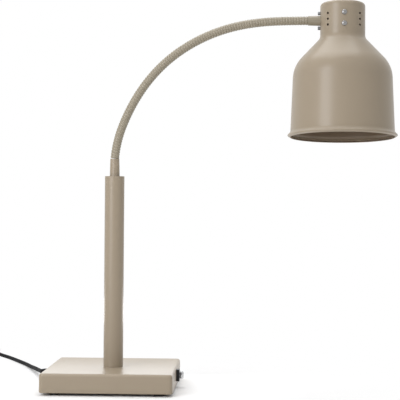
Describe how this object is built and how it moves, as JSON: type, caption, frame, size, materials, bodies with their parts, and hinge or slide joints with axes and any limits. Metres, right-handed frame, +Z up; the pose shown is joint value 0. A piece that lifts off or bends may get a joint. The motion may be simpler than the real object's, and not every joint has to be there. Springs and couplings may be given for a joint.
{
  "type": "food heat lamp",
  "caption": "Free-standing food heat lamp with a weighted box base, an upright column, a bendable ribbed arm and a bell-shaped shade over an infrared bulb.",
  "frame": {"origin": "on the floor, at the middle of the lamp's overall footprint from the cord gland to the shade's lip, cord left out", "axes": "+Z up, +X from the column towards the shade, -Y towards the viewer"},
  "size_m": [0.9171, 0.7164, 0.6912],
  "materials": {
    "base_paint": "satin powder coat, warm grey",
    "arm_paint": "satin powder coat, warm grey",
    "shade_paint": "satin powder coat on spun sheet, warm grey",
    "black_rubber": "matte",
    "black_plastic": "fine matte",
    "clear_plastic": "clear and glossy",
    "terminal_plastic": "matte, off-white",
    "zinc": "zinc plated",
    "plated_steel": "plain plated sheet",
    "ballast_iron": "rough and dark",
    "white_ceramic": "glazed",
    "brass": "plain",
    "nickel": "nickel plated",
    "bulb_glass": "red heat bulb glass",
    "cable_sheath": "matte"
  },
  "bodies": {
    "stand": {"base_shell": "base_paint", "base_plate": "plated_steel", "base_posts": "plated_steel", "rubber_feet": "black_rubber", "foot_screws": "zinc", "ballast_plate": "ballast_iron", "ballast_screws": "zinc", "terminal_block": "terminal_plastic", "terminal_screws": "brass", "earth_screw": "zinc", "cord_gland": "black_rubber", "gland_nut": "black_plastic", "switch_housing": "black_plastic", "switch_cover": "clear_plastic", "inner_leads": "cable_sheath", "column_bolt": "zinc", "column_washer": "plated_steel", "column_plug": "plated_steel", "column_tube": "base_paint", "column_bush": "plated_steel", "lower_ferrule": "base_paint", "column_cable": "cable_sheath", "power_cord": "cable_sheath", "cord_coil": "cable_sheath", "cord_tie": "black_plastic", "plug_lead": "cable_sheath", "plug_body": "black_rubber", "plug_pins": "nickel", "arm_segment_1": "arm_paint", "arm_cable_1": "cable_sheath"},
    "arm_2": {"arm_segment_2": "arm_paint", "arm_cable_2": "cable_sheath"},
    "arm_3": {"arm_segment_3": "arm_paint", "arm_cable_3": "cable_sheath"},
    "arm_4": {"arm_segment_4": "arm_paint", "arm_cable_4": "cable_sheath"},
    "arm_5": {"arm_segment_5": "arm_paint", "arm_cable_5": "cable_sheath"},
    "arm_6": {"arm_segment_6": "arm_paint", "arm_cable_6": "cable_sheath"},
    "arm_7": {"arm_segment_7": "arm_paint", "arm_cable_7": "cable_sheath"},
    "head": {"arm_segment_8": "arm_paint", "arm_cable_8": "cable_sheath", "upper_collar": "arm_paint", "collar_nut": "zinc", "neck_plate": "plated_steel", "side_screws": "zinc", "shade": "shade_paint", "lampholder_bracket": "plated_steel", "bracket_screws": "zinc", "lampholder": "white_ceramic", "holder_shell": "brass", "holder_contact": "brass", "bulb_glass": "bulb_glass", "bulb_cap": "nickel", "head_lead": "cable_sheath"},
    "rocker": {"switch_rocker": "black_plastic"}
  },
  "joints": [
    {"name": "arm_lower_bend", "type": "hinge", "parent": "stand", "child": "arm_2", "pos_m": [-0.17597, -0.012, 0.46798], "axis": [0, 1, 0], "range_deg": [-15, 15]},
    {"name": "arm_sway", "type": "hinge", "parent": "arm_2", "child": "arm_3", "pos_m": [-0.15023, -0.012, 0.52076], "axis": [-0.8572, 0, 0.515], "range_deg": [-15, 15]},
    {"name": "arm_lower_bend_upper_half", "type": "hinge", "parent": "arm_3", "child": "arm_4", "pos_m": [-0.1149, -0.012, 0.56764], "axis": [0, 1, 0], "range_deg": [-15, 15]},
    {"name": "arm_sway_middle", "type": "hinge", "parent": "arm_4", "child": "arm_5", "pos_m": [-0.07029, -0.012, 0.60574], "axis": [-0.5592, 0, 0.829], "range_deg": [-15, 15]},
    {"name": "arm_upper_bend", "type": "hinge", "parent": "arm_5", "child": "arm_6", "pos_m": [-0.01858, -0.012, 0.63353], "axis": [0, 1, 0], "range_deg": [-15, 15]},
    {"name": "arm_sway_upper", "type": "hinge", "parent": "arm_6", "child": "arm_7", "pos_m": [0.03763, -0.012, 0.65045], "axis": [-0.1908, 0, 0.9816], "range_deg": [-15, 15]},
    {"name": "arm_upper_bend_upper_half", "type": "hinge", "parent": "arm_7", "child": "head", "pos_m": [0.09597, -0.012, 0.65735], "axis": [0, 1, 0], "range_deg": [-15, 15]},
    {"name": "switch_rocker_tilt", "type": "hinge", "parent": "stand", "child": "rocker", "pos_m": [-0.07215, 0, 0.0224], "axis": [0, 1, 0], "range_deg": [-26, 0]}
  ],
  "couplings": [
    {"joint": "arm_lower_bend_upper_half", "follows": "arm_lower_bend", "ratio": 1},
    {"joint": "arm_upper_bend_upper_half", "follows": "arm_upper_bend", "ratio": 1},
    {"joint": "arm_sway_middle", "follows": "arm_sway", "ratio": 1},
    {"joint": "arm_sway_upper", "follows": "arm_sway", "ratio": 1}
  ]
}
